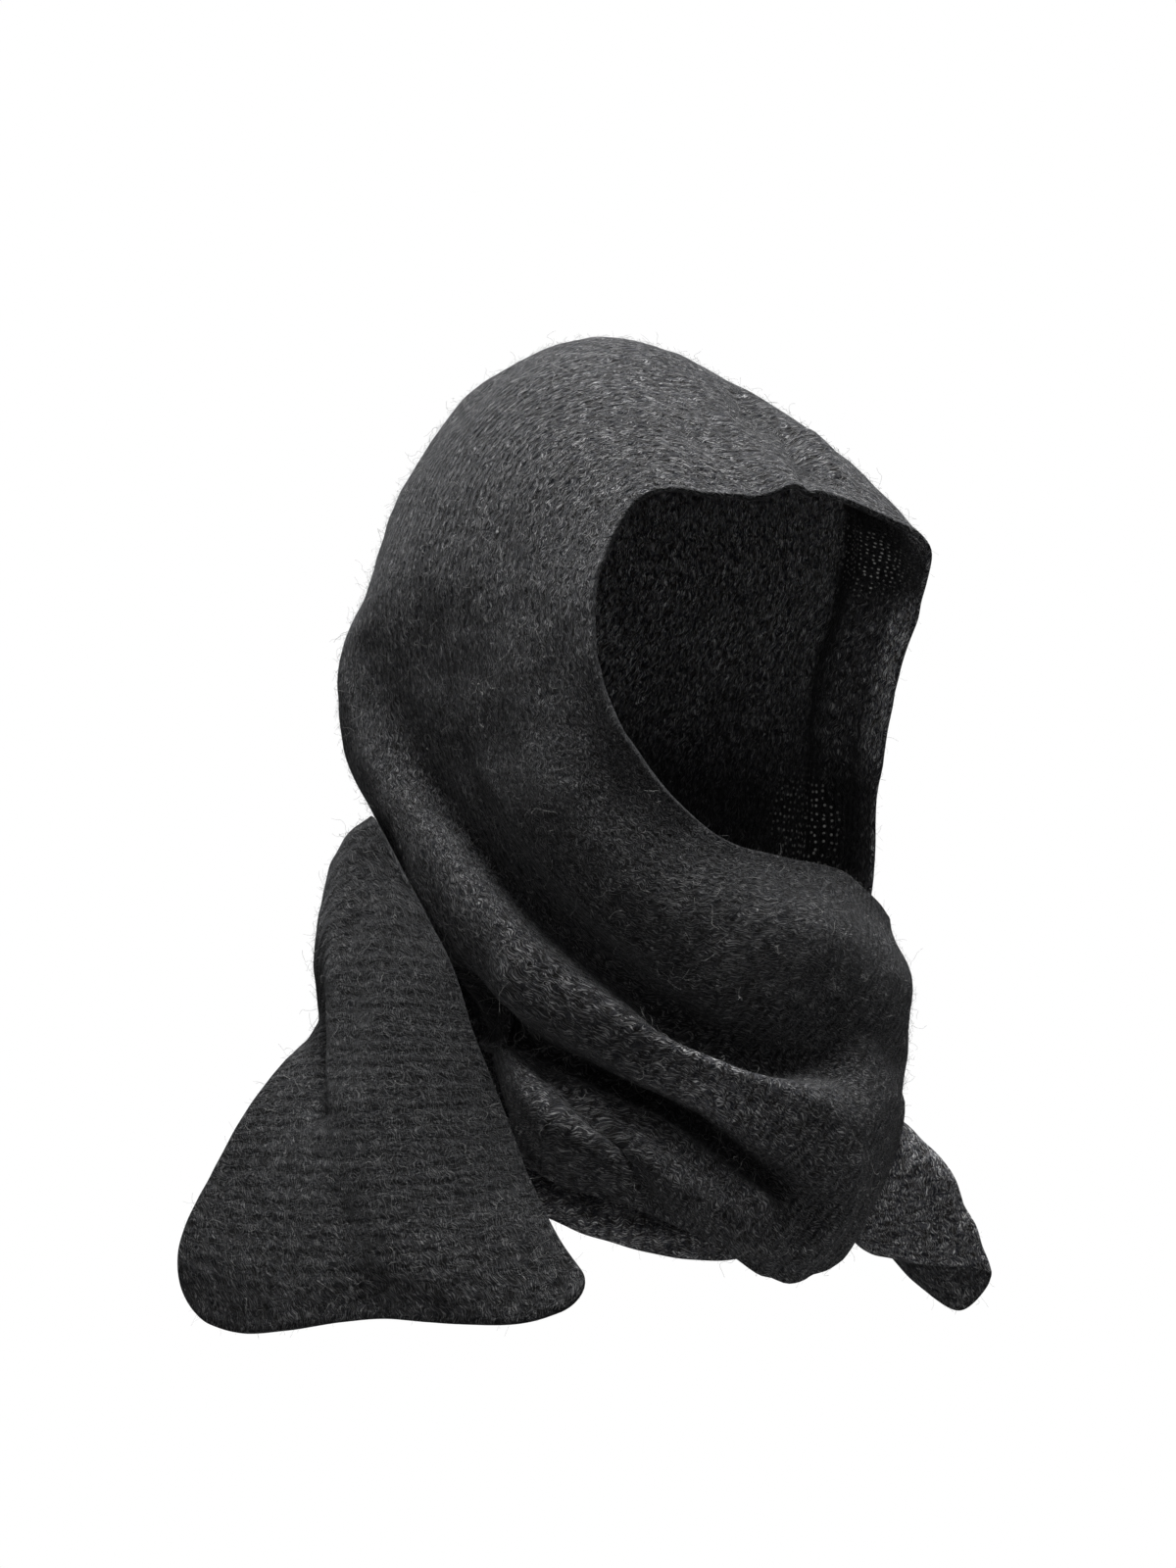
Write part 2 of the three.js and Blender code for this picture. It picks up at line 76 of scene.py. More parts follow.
# A row is a section across the strip, from the edge that frames the face to the back seam,
# then from the wrap's upper edge to the hem under its second fold, then across the tail.
# Its points are called edge, brim, cheek, valley, roll, slot, fold and hem.
STRIP_SECTIONS = {
    # wearer's left side, from the end inside the wrap up to the crown
    -7: ((96, -92, -400), (102, -55, -400), (103, -12, -400), (97, 26, -398), (86, 58, -396),
         (70, 84, -394), (52, 100, -392), (32, 110, -390)),
    -6: ((106, -100, -325), (113, -60, -325), (114, -12, -325), (108, 38, -320), (98, 84, -316),
         (78, 114, -318), (44, 134, -326), (0, 142, -335)),
    -5: ((106, -106, -262), (114, -60, -262), (118, -5, -262), (116, 55, -258), (104, 112, -256),
         (80, 154, -258), (44, 182, -262), (0, 192, -264)),
    -4: ((103, -124, -202), (110, -70, -202), (118, -10, -200), (118, 55, -198), (106, 118, -198),
         (80, 160, -202), (44, 188, -208), (0, 197, -210)),
    -3: ((99, -148, -155), (110, -90, -146), (117, -25, -138), (115, 44, -138), (100, 108, -144),
         (73, 156, -150), (38, 184, -156), (0, 194, -160)),
    -2: ((93, -160, -124), (94, -106, -88), (96, -46, -64), (94, 18, -58), (84, 80, -68),
         (63, 132, -88), (33, 166, -106), (0, 183, -116)),
    -1: ((48, -155, -102), (50, -106, -62), (53, -54, -35), (53, 0, -17), (50, 56, -16), (42, 108, -36),
         (22, 148, -66), (0, 171, -94)),
    # top centre
    0: ((0, -153, -91), (0, -108, -66), (0, -62, -36), (0, -17, -8), (0, 32, 2), (0, 84, -10),
        (0, 132, -42), (0, 165, -80)),
    # wearer's right side, down to the nape
    1: ((-46, -137, -91), (-50, -94, -60), (-53, -46, -34), (-54, 4, -17), (-51, 58, -18),
        (-43, 110, -37), (-23, 149, -66), (0, 171, -94)),
    2: ((-86, -110, -95), (-93, -62, -74), (-97, -12, -62), (-96, 44, -62), (-87, 96, -74),
        (-66, 140, -92), (-35, 169, -107), (0, 183, -116)),
    3: ((-110, -99, -138), (-117, -45, -138), (-121, 12, -136), (-118, 72, -140), (-103, 126, -147),
        (-74, 164, -153), (-39, 186, -158), (0, 194, -160)),
    4: ((-117, -103, -180), (-122, -48, -184), (-121, 18, -186), (-115, 93, -188), (-104, 156, -200),
        (-80, 183, -206), (-43, 195, -210), (0, 197, -210)),
    5: ((-112, -112, -215), (-121, -58, -226), (-122, 0, -234), (-113, 72, -236), (-118, 118, -243),
        (-94, 164, -254), (-50, 188, -262), (0, 192, -264)),
    # front wrap: valley, roll, slot and second fold sweep down to the chest
    6: ((-94, -126, -252), (-117, -88, -268), (-124, -42, -284), (-112, 11, -300), (-130, 40, -291),
        (-122, 84, -298), (-82, 122, -314), (0, 142, -335)),
    7: ((-55, -139, -290), (-88, -130, -312), (-104, -104, -338), (-97, -74, -360), (-130, -50, -353),
        (-126, -12, -395), (-129, -30, -415), (-126, -28, -434)),
    8: ((-5, -141, -305), (-48, -150, -335), (-70, -140, -368), (-71, -117, -397), (-102, -113, -395),
        (-92, -70, -432), (-128, -77, -448), (-123, -58, -485)),
    9: ((50, -135, -318), (8, -160, -352), (-22, -158, -390), (-40, -142, -419), (-66, -150, -419),
        (-54, -111, -457), (-93, -123, -475), (-93, -106, -503)),
    10: ((100, -120, -350), (78, -148, -378), (56, -161, -404), (28, -163, -428), (-4, -174, -445),
         (-14, -140, -493), (-48, -146, -509), (-50, -130, -526)),
    11: ((120, -84, -366), (114, -116, -392), (101, -136, -420), (78, -152, -446), (48, -163, -475),
         (28, -158, -510), (8, -149, -539), (4, -133, -557)),
    12: ((129, -42, -376), (131, -69, -398), (124, -93, -423), (113, -112, -448), (104, -123, -468),
         (94, -128, -494), (78, -131, -521), (58, -128, -547)),
    13: ((132, 18, -372), (139, 2, -388), (140, -17, -404), (137, -36, -420), (137, -62, -434),
         (140, -80, -446), (136, -94, -458), (125, -101, -464)),
    14: ((118, 78, -350), (125, 72, -369), (130, 62, -387), (133, 49, -403), (134, 34, -418),
         (133, 18, -432), (130, 2, -443), (124, -13, -452)),
    # round the back of the neck
    15: ((72, 134, -330), (78, 140, -349), (83, 143, -368), (87, 142, -386), (90, 138, -403),
         (91, 131, -419), (90, 122, -434), (87, 111, -447)),
    16: ((0, 160, -322), (0, 168, -338), (0, 172, -356), (0, 173, -376), (0, 171, -396), (0, 166, -414),
         (0, 159, -430), (0, 150, -444)),
    17: ((-78, 147, -310), (-87, 152, -323), (-92, 153, -347), (-96, 155, -366), (-96, 154, -384),
         (-94, 151, -402), (-90, 147, -420), (-84, 140, -436)),
    # over the right shoulder and down in front
    18: ((-133, 84, -291), (-138, 101, -300), (-143, 113, -319), (-145, 119, -342), (-144, 122, -360),
         (-141, 125, -380), (-136, 127, -402), (-129, 126, -424)),
    19: ((-136, 42, -332), (-149, 63, -327), (-158, 82, -334), (-161, 97, -348), (-160, 106, -366),
         (-156, 112, -386), (-150, 116, -406), (-144, 118, -426)),
    20: ((-143, -2, -370), (-162, 24, -366), (-172, 48, -366), (-174, 70, -370), (-170, 84, -382),
         (-163, 92, -398), (-162, 100, -412), (-168, 108, -426)),
    21: ((-143, -24, -410), (-168, -6, -408), (-184, 18, -408), (-190, 42, -410), (-186, 60, -414),
         (-179, 72, -422), (-182, 86, -429), (-194, 97, -436)),
    22: ((-139, -44, -448), (-170, -30, -448), (-194, -8, -450), (-206, 18, -452), (-206, 42, -454),
         (-204, 58, -457), (-212, 74, -460), (-226, 90, -463)),
    23: ((-138, -67, -486), (-172, -56, -490), (-200, -34, -494), (-216, -8, -498), (-224, 20, -501),
         (-230, 44, -503), (-240, 68, -504), (-252, 94, -503)),
    24: ((-141, -100, -519), (-172, -82, -526), (-200, -58, -532), (-218, -28, -536), (-230, 2, -540),
         (-241, 32, -543), (-254, 64, -544), (-267, 98, -538)),
    25: ((-141, -134, -545), (-168, -104, -561), (-192, -72, -564), (-212, -38, -564), (-228, -6, -569),
         (-243, 26, -577), (-256, 60, -582), (-268, 92, -574)),
}

# Left tail: it comes from under the wrap and hangs in two layers, with its fold outside.
# The points of a row are called inner, face, fold, back and end.
LEFT_TAIL_SECTIONS = {
    0: ((84, -84, -440), (100, -80, -440), (116, -62, -446), (114, -30, -442), (106, 0, -440)),
    1: ((84, -92, -486), (108, -98, -483), (138, -88, -478), (135, -58, -482), (116, -26, -480)),
    2: ((90, -88, -510), (120, -103, -507), (154, -113, -503), (155, -84, -514), (134, -41, -515)),
    3: ((105, -80, -541), (138, -98, -540), (176, -115, -538), (174, -87, -562), (150, -50, -552)),
    4: ((124, -76, -562), (157, -94, -571), (197, -115, -579), (196, -91, -606), (170, -56, -576)),
}

# Under wrap: a closed loop round the neck, seen below the front roll. A row is named by its angle
# from the front towards the wearer's left. Its points are top, shoulder, crest, groove, band and
# rim, each with its distance out from the neck's axis and its height.
UNDER_WRAP_SECTIONS = {
    0: ((92, -452), (106, -468), (116, -494), (107, -520), (113, -534), (109, -546)),
    45: ((90, -440), (100, -452), (106, -478), (99, -504), (104, -516), (101, -530)),
    90: ((80, -412), (87, -424), (92, -444), (88, -466), (92, -476), (89, -488)),
    135: ((86, -400), (96, -410), (104, -428), (99, -446), (104, -456), (100, -468)),
    180: ((84, -400), (104, -408), (124, -424), (122, -442), (128, -454), (124, -468)),
    225: ((86, -402), (106, -411), (122, -424), (118, -446), (123, -460), (120, -474)),
    270: ((84, -434), (95, -442), (108, -458), (108, -474), (115, -484), (112, -496)),
    300: ((86, -440), (103, -454), (124, -478), (120, -494), (127, -506), (123, -517)),
    330: ((92, -438), (107, -464), (126, -494), (118, -513), (124, -525), (120, -537)),
}

# Creases and swells worked into the strip: name, route of (section, share across) places, half
# width, and height: below zero for a crease, above for a swell.
STRIP_FOLDS = (
    ("seam ridge", ((0, 0.0), (0, 0.34)), 9, 2),
    ("dimple right of the seam", ((0.55, 0.02), (0.75, 0.16)), 13, -4),
    ("dimple left of the seam", ((-0.5, 0.05), (-0.65, 0.24)), 12, -4),
    ("inner crease of the left side", ((-2.4, 0.12), (-5.9, 0.17)), 17, -11),
    ("cheek swell", ((5.6, 0.16), (7.2, 0.22)), 24, 4),
    ("neck crease", ((5.2, 0.33), (7.4, 0.36)), 12, -4),
    ("chin swell", ((8.4, 0.12), (10.2, 0.15)), 22, 5),
    ("chest crease", ((9.4, 0.3), (10.7, 0.36)), 14, -4),
    ("neck valley", ((5.4, 0.43), (7, 0.43), (8, 0.43)), 13, -3),
    ("chest valley", ((8.1, 0.42), (8.9, 0.41), (9.7, 0.42)), 20, -9),
    ("roll belly", ((7.2, 0.63), (8.2, 0.635), (9.8, 0.64), (10.6, 0.65)), 17, 10),
    ("slot", ((7.3, 0.72), (8.2, 0.71), (9.2, 0.71), (10, 0.715)), 7, -12),
    ("slot lip", ((7.9, 0.79), (8.6, 0.78), (9.5, 0.79), (10.1, 0.79)), 8, 7),
    ("second fold crease", ((7.75, 0.79), (8.25, 0.82), (8.7, 0.86), (9, 0.91), (9.3, 0.96)), 6, -6),
    ("pocket", ((6.85, 0.73), (7.15, 0.71)), 11, -22),
    ("lobe crease", ((10.6, 0.62), (10.85, 0.97)), 9, -4),
    ("lobe side crease", ((11.5, 0.66), (11.45, 0.98)), 9, -3),
    ("left side fold", ((-3.2, 0.72), (-6, 0.42)), 20, -6),
    ("left side swell", ((-4.2, 0.88), (-6, 0.66)), 20, 6),
    ("nape fold", ((15.2, 0.4), (17.6, 0.34)), 12, -5),
    ("tail lump crease", ((19.6, 0.3), (21.4, 0.42)), 13, -5),
    ("tail ridge crease", ((20.2, 0.7), (20.9, 0.73), (21.5, 0.68), (22, 0.6)), 9, -9),
    ("tail fan crease", ((22.2, 0.52), (24.4, 0.47)), 16, -4),
)

# Smaller ones, in the brushed cloth alone
FINE_FOLDS = (
    ("notch at the top centre", ((-0.06, 0.0), (-0.02, 0.05)), 6, -2.5),
    ("crown dent", ((1.2, 0.55), (2.4, 0.5)), 26, -2),
    ("crease beside the seam", ((-0.06, 0.01), (-0.45, 0.09), (-0.7, 0.16)), 6, -5),
    ("swell past the crease", ((-0.85, 0.06), (-1.05, 0.16)), 9, 3.5),
    ("dip of the brim", ((0.7, 0.0), (1.05, 0.02)), 14, -4.5),
    ("rise of the brim", ((-0.1, 0.0), (0.1, 0.0)), 9, 3),
    ("small crown dimple", ((-0.35, 0.2), (-0.65, 0.28)), 11, -6),
)

# Each route is followed in this many points.
FOLD_STEPS = 9

# Soft unevenness of the cloth: size and height in millimetres
RIPPLE_WAVES = 24
STRIP_RIPPLES = (dict(size=46, height=0.5, seed=3), dict(size=17, height=0.16, seed=4))
SMALL_RIPPLES = dict(size=30, height=0.5)

# Colours, linear
SHADE_WOOL = (0.0006, 0.0006, 0.0008)
BODY_WOOL = (0.036, 0.036, 0.039)
BLUE_WOOL = (0.008, 0.010, 0.018)
BROWN_WOOL = (0.018, 0.014, 0.009)
PALE_WOOL = (0.33, 0.33, 0.33)
# Painted light: the pale colour of dots where light shows through the knit's pinholes
PINHOLE_LIGHT = (0.8, 0.8, 0.78)
DARK_FIBRE = (0.006, 0.006, 0.006)
LIGHT_FIBRE = (0.13, 0.13, 0.13)
PALE_HAIR = (0.34, 0.34, 0.33)
FLOOR_COLOUR = (0.3, 0.3, 0.3)
SEEN_WHITE = (1.0, 1.0, 1.0)

# Nap: the hairs' width and length in metres, each layer's angle and the noise where it shows
HAIR_WIDTH = 0.00065
HAIR_LENGTH = 0.0045
HAIR_LAYERS = ((14, 0.65, 0.74), (-28, 0.65, 0.74), (62, 0.65, 0.74), (-70, 0.67, 0.76))
NAP_RELIEF = 0.0024

# The wool's pattern: how far it wanders, the sizes of its parts in metres, and the span of the
# noise over which each part shows
WANDER_SIZE = 0.006
WANDER = 0.004
SPECK_SIZE = 0.0011
SPECK_SPAN = (0.4, 0.62)
PATCH_SIZE = 0.009
PATCH_SPAN = (0.36, 0.64)
TINT_SIZE = 0.004
TINT_SPAN = (0.35, 0.65)
FIBRE_TONE_SIZE = 0.0035
FIBRE_TONE_SPAN = (0.3, 0.7)

# How much each part counts for the wool's tone and relief, and how the hairs show on each
TINT_SHARE = 0.2
TONE = dict(clumps=0.8, patches=0.3, specks=0.5, ribs=0.4, rest=-0.43)
RELIEF = dict(streaks=0.25, clumps=0.42, ribs=0.55)
HAIRS_ON_CLUMPS = (0.45, 0.35)
HAIRS_ON_PATCHES = (0.5, 0.75)
WOOL_SURFACE = {"Roughness": 0.95, "Specular IOR Level": 0.15, "Sheen Weight": 0.1,
                "Sheen Roughness": 0.55, "Sheen Tint": (0.82, 0.84, 0.88, 1.0)}
FIBRE_SURFACE = {"Roughness": 0.7, "Specular IOR Level": 0.3}

# Lighter and darker clumps of wool, drawn out along the wales or the courses
CLUMP_SIZE = 0.0031
CLUMP_SPAN = (0.4, 0.6)
CLUMP_STRETCHES = ((1.0, 0.45, 1.0), (0.4, 1.0, 1.0))

# The knit's ribs: width in metres, depth, and how far they turn from along to across the strip
FACE_RIBS = dict(rib_width=0.0055, rib_depth=0.6)
REVERSE_RIBS = dict(rib_width=0.0098, rib_depth=0.65, rib_turn=1.0)
RIB_TURNS = ((6, 0), (9, 1), (14, 1))

# Painted light and shade: how light the wool is drawn, as a share of its colours, on the outside,
# inside and rims of the pieces, set by how light falls on each part. Rows pair a place along the
# strip, or a share across it, with a shade. WRAP_SHADES paint shade on the wrap's upper half and
# end over WRAP_ENDS. The hood's inside has painted light and shade from BROW_SHADES near its front
# edge, dimmed by BROW_FADES, which gives way over BROW_ENDS to the painted light and shade of
# BACK_SHADES, and it has painted light at its edge from BROW_EDGE. The rims are darker, partly the
# cloth's dark edge line and partly painted shade; HOOD_RIM_SHADES paint light on the rims of the
# hood's left side.
PAINTED_PIECE_SHADES = dict(hood=1.0, under_wrap=2.8, right_tail=0.47, left_tail=1.4)
PAINTED_INSIDE_SHADES = dict(under_wrap=0.8, right_tail=0.5, left_tail=3.1)
RIM_SHADE = 0.3
WRAP_SHADES = ((4.5, 0.0), (6.5, 0.5), (9.5, 0.43), (12.0, 0.0))
WRAP_ENDS = (0.4, 0.56)
BROW_SHADES = ((-6.0, 0.3), (-5.2, 0.3), (-4.5, 2.0), (-3.4, 2.6), (-2.9, 0.3), (-2.3, 0.25),
               (-1.6, 1.6), (5.0, 1.0))
BACK_SHADES = ((-6.0, 0.45), (-5.3, 0.7), (-4.5, 3.7), (-3.8, 5.9), (-2.4, 5.9), (-1.4, 3.2),
               (1.4, 3.2), (2.4, 5.9), (3.8, 5.9), (4.5, 3.7), (5.3, 0.7), (6.0, 0.45))
PAINTED_TAIL_SHADES = ((14.0, 1.0), (19.0, 1.0), (21.5, 0.82), (23.0, 0.85), (25.0, 1.6))
PAINTED_TAIL_EDGE_SHADES = ((0.08, 0.62), (0.35, 1.0))
BROW_ENDS = (0.185, 0.21)
BROW_FADES = ((0.07, 1.0), (0.185, 0.45))
BROW_EDGE = dict(reach=(0.025, 0.065), along=((-6.0, 3.4), (-2.9, 4.5), (-1.8, 4.5), (-1.2, 1.0)))
HOOD_RIM_SHADES = ((-6.0, 1.8), (-2.2, 2.0), (-1.4, 0.45), (3.0, 0.45), (4.0, 0.2), (14.0, 0.3))

# Places on the outside of the hood and the wrap with painted shade, darker where shade falls, as in
# the pocket, the slot, the second fold and the crown dimple, and with painted light, lighter where
# light falls: name, section and its reach, share across and its spread, and shade
PAINTED_SHADE_PLACES = (
    ("pocket", 7.0, 0.4, 0.715, 0.07, 0.2),
    ("cloth behind the pocket", 6.65, 0.5, 0.92, 0.2, 0.04),
    ("slot", 8.9, 1.6, 0.715, 0.045, 0.12),
    ("below the chest roll", 9.15, 0.55, 0.64, 0.07, 2.9),
    ("second fold", 8.8, 0.8, 0.86, 0.08, 0.55),
    ("temple", 3.4, 0.9, 0.46, 0.16, 1.35),
    ("crown dimple", -0.55, 0.4, 0.24, 0.06, 0.55),
    ("beside the seam", -0.42, 0.22, 0.08, 0.045, 0.5),
    ("past the seam", -1.1, 0.35, 0.07, 0.05, 1.25),
    ("crown, wearer's right", 2.3, 0.8, 0.5, 0.25, 0.76),
)

# Pinholes on the inside of the hood's left side, painted as pale dots of light showing through the
# thin knit: painted light. Their spacing in metres, and their places as section and its reach,
# share across and its spread
PINHOLE_SPACING = 0.0046
PINHOLE_SPAN = (0.27, 0.12)
PINHOLE_LIGHT_PLACES = (
    (-5.55, 0.42, 0.2, 0.075),
    (-2.7, 0.3, 0.12, 0.07),
)

# Stray fibres: how deep their roots go, the spread of their lifts and lengths, and how much of
# their thickness the tip loses
FIBRE_ROOT_DEPTH = 0.3
FIBRE_LIFTS = (0.1, 1.0)
FIBRE_LENGTHS = (0.45, 1.35)
FIBRE_TAPER = 0.6
FIBRE_INPUTS = dict(density="Fibres per m2", length="Length", thickness="Thickness", lift="Lift",
                    curl="Curl", curl_size="Curl size", points="Points", seed="Seed")
NAP = dict(density=45000.0, length=0.007, thickness=0.00009, lift=0.5, curl=0.0055, curl_size=0.005,
           points=4)
LOOSE_HAIRS = dict(density=2900.0, length=0.012, thickness=0.00015, lift=0.9, curl=0.016,
                   curl_size=0.006, points=12)

# Stage, in metres and watts
FLOOR_HEIGHT = -1.0
FLOOR_REACH = 20.0
ROOM_LIGHT_BELOW = 0.03
ROOM_LIGHT_ABOVE = 0.26
LIGHT_TARGET = (-0.02, 0.0, -0.3)
LIGHTS = {
    "top_softbox": dict(azimuth=-25, elevation=80, distance=2.2, size=1.0, power=120),
    "front_softbox": dict(azimuth=-30, elevation=12, distance=3.2, size=1.8, power=4),
}


def smooth_line(points, places, closed=False):
    """A centripetal Catmull-Rom line through points, read at places counted in points."""
    count = len(points)
    if closed:
        first = np.floor(places).astype(int)
        before, here, after, beyond = (points[(first + k) % count] for k in (-1, 0, 1, 2))
    else:
        first = np.minimum(np.floor(places).astype(int), count - 2)
        run_in = 2 * points[:1] - points[1:2]
        run_out = 2 * points[-1:] - points[-2:-1]
        longer = np.concatenate([run_in, points, run_out])
        before, here, after, beyond = (longer[first + k] for k in range(4))
    part = (places - first).reshape((-1,) + (1,) * (points.ndim - 1))
    spans = ((before, here), (here, after), (after, beyond))
    knots = [np.sqrt(np.linalg.norm(b - a, axis=-1, keepdims=True)).clip(1e-4) for a, b in spans]
    slopes = [(b - a) / knot for (a, b), knot in zip(spans, knots)]
    leave = slopes[0] - (after - before) / (knots[0] + knots[1]) + slopes[1]
    reach = slopes[1] - (beyond - here) / (knots[1] + knots[2]) + slopes[2]
    leave *= knots[1]
    reach *= knots[1]
    square = -3 * here + 3 * after - 2 * leave - reach
    cube = 2 * here - 2 * after + leave + reach
    return here + part * (leave + part * (square + part * cube))


class Surface:
    """A surface through sections: stations count the sections, shares run across from 0 to 1."""

    def __init__(self, points, closed=False):
        self.points = np.asarray(points, float)
        self.closed = closed

    def grid(self, stations, shares):
        guides = smooth_line(self.points, np.asarray(stations, float), self.closed)
        columns = guides.swapaxes(0, 1)
        places = np.asarray(shares, float) * (len(columns) - 1)
        return smooth_line(columns, places).swapaxes(0, 1)

    def line(self, stations, shares):
        places = zip(stations, shares)
        return np.array([self.grid([station], [share])[0, 0] for station, share in places])


def round_corners(grid, surface, stations, shares):
    """Rounds the two corners at the end of a sheet's grid, each pressed into a quarter disc."""
    for row, station in enumerate(stations):
        along = 1 - (stations[-1] - station) / CORNER_SECTION
        for column, share in enumerate(shares):
            side = -1 if share < 0.5 else 1
            across = 1 - (0.5 - abs(share - 0.5)) / CORNER_SHARE
            if along > 0 and across > 0:
                shorter = along * (1 - math.sqrt(1 - across ** 2 / 2)) * CORNER_SECTION
                narrower = across * (1 - math.sqrt(1 - along ** 2 / 2)) * CORNER_SHARE
                grid[row, column] = surface.grid([station - shorter], [share - side * narrower])[0, 0]
    return grid


def under_wrap_points():
    rows = []
    for degrees, places in UNDER_WRAP_SECTIONS.items():
        turn = math.radians(degrees)
        rows.append([
            (NECK_AXIS[0] + out * math.sin(turn), NECK_AXIS[1] - out * math.cos(turn), height)
            for out, height in places
        ])
    return rows


class Sheet:
    """One layer of cloth: corners, four-sided faces, and the cloth's own plane in millimetres."""

    def __init__(self, grid, stations, closed=False, one_corner=None):
        rows, columns = grid.shape[:2]
        corner_of = np.arange(rows * columns).reshape(rows, columns)
        if one_corner is not None:
            corner_of = one_corner(corner_of)
        kept, places = np.unique(corner_of, return_inverse=True)
        corner_of = places.reshape(rows, columns)
        self.corners = grid.reshape(-1, 3)[kept]
        self.at = np.repeat(stations, columns)[kept]
        self.share = np.tile(np.linspace(0, 1, columns), rows)[kept]
        across = np.linalg.norm(np.diff(grid, axis=1), axis=2)
        across = np.concatenate([np.zeros((rows, 1)), across.cumsum(axis=1)], axis=1)
        middle = grid[:, columns * LENGTH_LINE[0] // LENGTH_LINE[1]]
        steps = np.linalg.norm(np.diff(middle, axis=0), axis=1)
        along = np.concatenate([[0], steps.cumsum()])
        if closed:
            corner_of = np.concatenate([corner_of, corner_of[:1]])
            across = np.concatenate([across, across[:1]])
            last = np.linalg.norm(middle[0] - middle[-1])
            along = np.concatenate([along, [along[-1] + last]])
        plane = np.stack([across, np.repeat(along[:, None], columns, axis=1)], axis=2)
        turns = ((0, 0), (0, 1), (1, 1), (1, 0))
        tall, wide = len(corner_of) - 1, columns - 1
        faces = [corner_of[r:r + tall, c:c + wide] for r, c in turns]
        planes = [plane[r:r + tall, c:c + wide] for r, c in turns]
        self.faces = np.stack(faces, axis=2).reshape(-1, 4)
        self.plane = np.stack(planes, axis=2).reshape(-1, 4, 2)

    def normals(self):
        a, b, c, d = (self.corners[self.faces[:, k]] for k in range(4))
        facing = np.cross(c - a, d - b)
        total = np.zeros_like(self.corners)
        for k in range(4):
            np.add.at(total, self.faces[:, k], facing)
        return total / np.linalg.norm(total, axis=1, keepdims=True)

    def move_out(self, distances):
        self.corners = self.corners + self.normals() * distances[:, None]

    def free_edges(self):
        """The outline's directed edges, with the cloth on their left."""
        starts = self.faces.ravel()
        ends = np.roll(self.faces, -1, axis=1).ravel()
        known = set(zip(starts.tolist(), ends.tolist()))
        return [(a, b) for a, b in known if (b, a) not in known]


def distance_to_line(corners, line):
    nearest = np.full(len(corners), 1e9)
    for start, end in zip(line[:-1], line[1:]):
        run = end - start
        part = ((corners - start) @ run / (run @ run)).clip(0, 1)
        nearest = np.minimum(nearest, np.linalg.norm(corners - start - part[:, None] * run, axis=1))
    return nearest


def fold_heights(sheet, surface, first_at, folds):
    """How far each corner moves out or in for the creases and swells near it."""
    heights = np.zeros(len(sheet.corners))
    for _, route, width, height in folds:
        ats, shares = zip(*route)
        places = np.linspace(0, len(ats) - 1, FOLD_STEPS)
        stations = np.interp(places, range(len(ats)), ats) - first_at
        line = surface.line(stations, np.interp(places, range(len(shares)), shares))
        away = distance_to_line(sheet.corners, line)
        heights += height * np.exp(-(away / width) ** 2)
    return heights


def ripple_heights(corners, size, height, seed):
    """Soft, irregular unevenness: many plane waves in seeded directions."""
    pick = np.random.default_rng(seed)
    total = np.zeros(len(corners))
    for _ in range(RIPPLE_WAVES):
        direction = pick.normal(size=3)
        direction /= np.linalg.norm(direction)
        length = size * pick.uniform(0.7, 1.6)
        total += np.sin(corners @ direction * 2 * math.pi / length + pick.uniform(0, 2 * math.pi))
    return height * total / math.sqrt(RIPPLE_WAVES / 2)


def cloth_mesh(name, sheet):
    """A closed mesh of the sheet's two skins with rounded rims, and its flat plane as a UV map."""
    corners = sheet.corners
    normals = sheet.normals()
    count = len(corners)
    half = CLOTH_WALL / 2
    right_side = corners + normals * half
    wrong_side = corners - normals * half
    positions = [right_side, wrong_side]
    polygons = [sheet.faces, sheet.faces[:, ::-1] + count]
    planes = [sheet.plane, sheet.plane[:, ::-1]]
    edges = sheet.free_edges()
    after = dict(edges)
    before = {b: a for a, b in edges}
    outline = sorted(after)
    rank = {corner: k for k, corner in enumerate(outline)}
    tangents = np.array([corners[after[c]] - corners[before[c]] for c in outline])
    outward = np.cross(tangents, normals[outline])
    outward /= np.linalg.norm(outward, axis=1, keepdims=True)
    for turn in RIM_TURNS:
        lift = half * math.sin(math.radians(turn))
        reach = RIM_DEPTH * math.cos(math.radians(turn))
        positions.append(corners[outline] + normals[outline] * lift + outward * reach)
    place_of = {}
    for corner in outline:
        rims = [2 * count + ring * len(outline) + rank[corner] for ring in range(len(RIM_TURNS))]
        place_of[corner] = [corner] + rims + [corner + count]
    plane_of = dict(zip(sheet.faces.ravel().tolist(), sheet.plane.reshape(-1, 2).tolist()))

    def rim_plane(corner, steps):
        x, y = plane_of[corner]
        return x + steps * RIM_STEP, y + steps * RIM_STEP

    rim_faces = []
    rim_planes = []
    for a, b in edges:
        for upper in range(len(RIM_TURNS) + 1):
            rim_faces.append((place_of[b][upper], place_of[a][upper],
                              place_of[a][upper + 1], place_of[b][upper + 1]))
            rim_planes.append((rim_plane(b, upper), rim_plane(a, upper),
                               rim_plane(a, upper + 1), rim_plane(b, upper + 1)))
    polygons.append(np.array(rim_faces))
    planes.append(np.array(rim_planes))
    return new_mesh(name, np.concatenate(positions) * MM, np.concatenate(polygons),
                    np.concatenate(planes) * MM)


def new_object(name, data):
    made = bpy.data.objects.new(name, data)
    bpy.context.scene.collection.objects.link(made)
    return made


